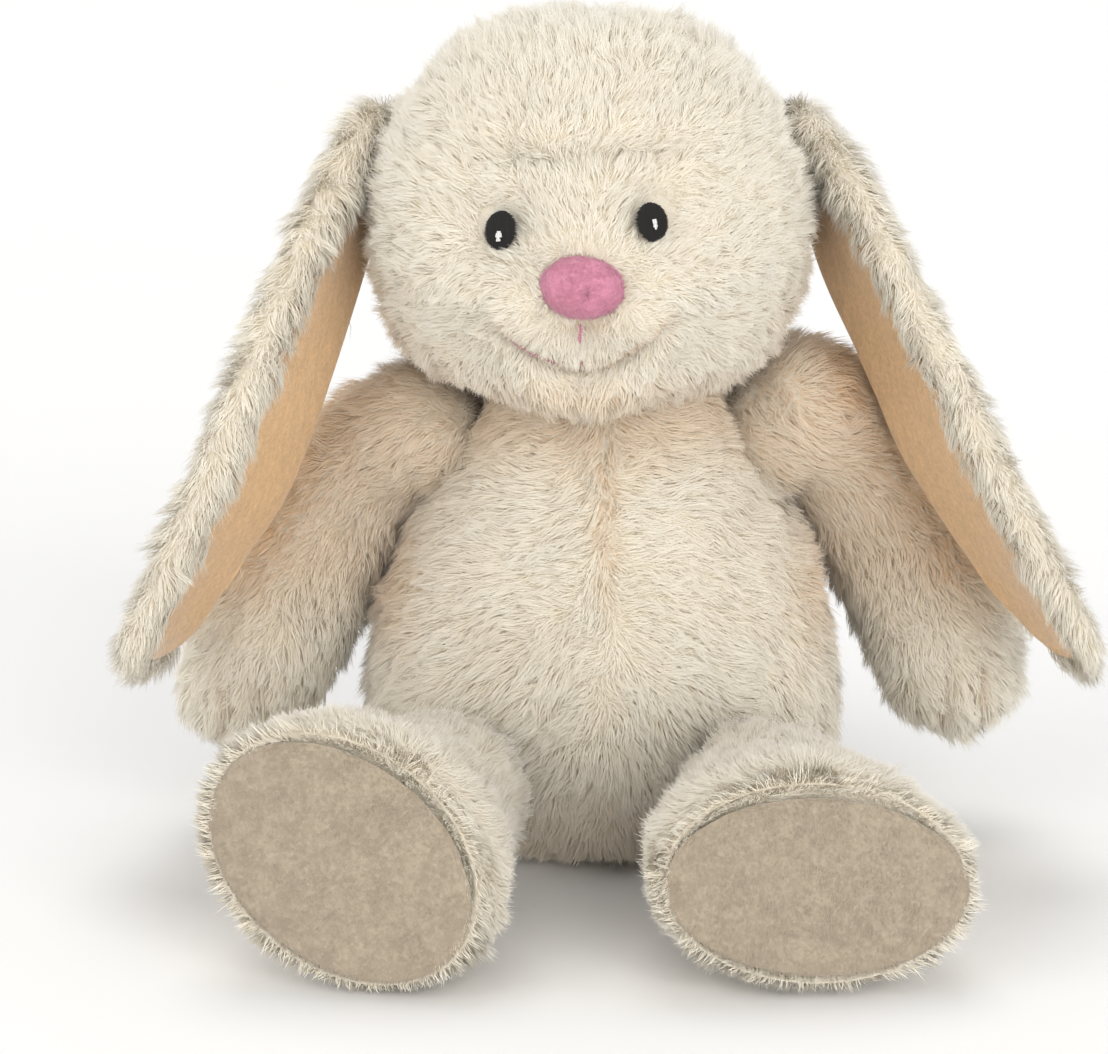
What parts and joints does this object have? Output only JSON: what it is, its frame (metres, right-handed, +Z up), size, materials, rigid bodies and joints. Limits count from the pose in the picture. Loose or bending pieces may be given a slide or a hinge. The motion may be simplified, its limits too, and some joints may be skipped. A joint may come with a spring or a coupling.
{
  "type": "stuffed bunny rabbit",
  "caption": "Seated stuffed bunny rabbit with long hanging ears, soft arms and legs and padded soles, sewn from long-pile plush.",
  "frame": {"origin": "centre of the flat underside of the seat, on the surface that the rabbit sits on", "axes": "+Z up; the rabbit faces -Y; +X is to the right of someone who looks at its face"},
  "size_m": [0.3459, 0.304, 0.3022],
  "materials": {
    "cream_fur": "long-pile plush, ivory, brushed in small tufts",
    "peach_velour": "short velour pile",
    "sole_plush": "short dense plush, taupe",
    "nose_felt": "short brushed velour, pink",
    "black_embroidery": "satin-stitched thread",
    "white_embroidery": "satin-stitched thread",
    "pink_thread": "twisted sewing thread",
    "cream_thread": "twisted sewing thread",
    "polyester_stuffing": "loose white polyester fibre",
    "pellet_cloth": "plain woven bag cloth"
  },
  "bodies": {
    "torso": {"torso_cover": "cream_fur", "torso_stuffing": "polyester_stuffing", "pellet_bag": "pellet_cloth", "tail_cover": "cream_fur", "tail_stuffing": "polyester_stuffing"},
    "head": {"head_cover": "cream_fur", "head_stuffing": "polyester_stuffing", "eye_left": "black_embroidery", "eye_right": "black_embroidery", "eye_glint_left": "white_embroidery", "eye_glint_right": "white_embroidery", "nose_pad": "nose_felt", "nose_stitch": "pink_thread", "mouth_thread": "pink_thread"},
    "ear_left": {"ear_back_left": "cream_fur", "ear_lining_left": "peach_velour"},
    "arm_left": {"arm_cover_left": "cream_fur", "arm_stuffing_left": "polyester_stuffing", "finger_thread_inner_left": "cream_thread", "finger_thread_outer_left": "cream_thread"},
    "leg_left": {"leg_cover_left": "cream_fur", "leg_stuffing_left": "polyester_stuffing", "sole_left": "sole_plush"},
    "ear_right": {"ear_back_right": "cream_fur", "ear_lining_right": "peach_velour"},
    "arm_right": {"arm_cover_right": "cream_fur", "arm_stuffing_right": "polyester_stuffing", "finger_thread_inner_right": "cream_thread", "finger_thread_outer_right": "cream_thread"},
    "leg_right": {"leg_cover_right": "cream_fur", "leg_stuffing_right": "polyester_stuffing", "sole_right": "sole_plush"}
  },
  "joints": [
    {"name": "head_turn", "type": "hinge", "parent": "torso", "child": "head", "pos_m": [-0.0055, -0.014, 0.1835], "axis": [0, 0, 1], "range_deg": [-5, 5]},
    {"name": "ear_lift_left", "type": "hinge", "parent": "head", "child": "ear_left", "pos_m": [-0.0755, 0.006, 0.266], "axis": [0, 1, 0], "range_deg": [0, 70]},
    {"name": "ear_lift_right", "type": "hinge", "parent": "head", "child": "ear_right", "pos_m": [0.0645, 0.006, 0.266], "axis": [0, -1, 0], "range_deg": [0, 70]},
    {"name": "arm_swing_left", "type": "hinge", "parent": "torso", "child": "arm_left", "pos_m": [-0.058, 0, 0.15], "axis": [-0.9659, 0, 0.259], "range_deg": [-40, 10]},
    {"name": "arm_swing_right", "type": "hinge", "parent": "torso", "child": "arm_right", "pos_m": [0.058, 0, 0.15], "axis": [-0.9659, 0, -0.259], "range_deg": [-40, 10]},
    {"name": "leg_lift_left", "type": "hinge", "parent": "torso", "child": "leg_left", "pos_m": [-0.06, -0.092, 0.0385], "axis": [-1, 0, 0], "range_deg": [0, 30]},
    {"name": "leg_lift_right", "type": "hinge", "parent": "torso", "child": "leg_right", "pos_m": [0.056, -0.0925, 0.036], "axis": [-1, 0, 0], "range_deg": [0, 30]}
  ]
}
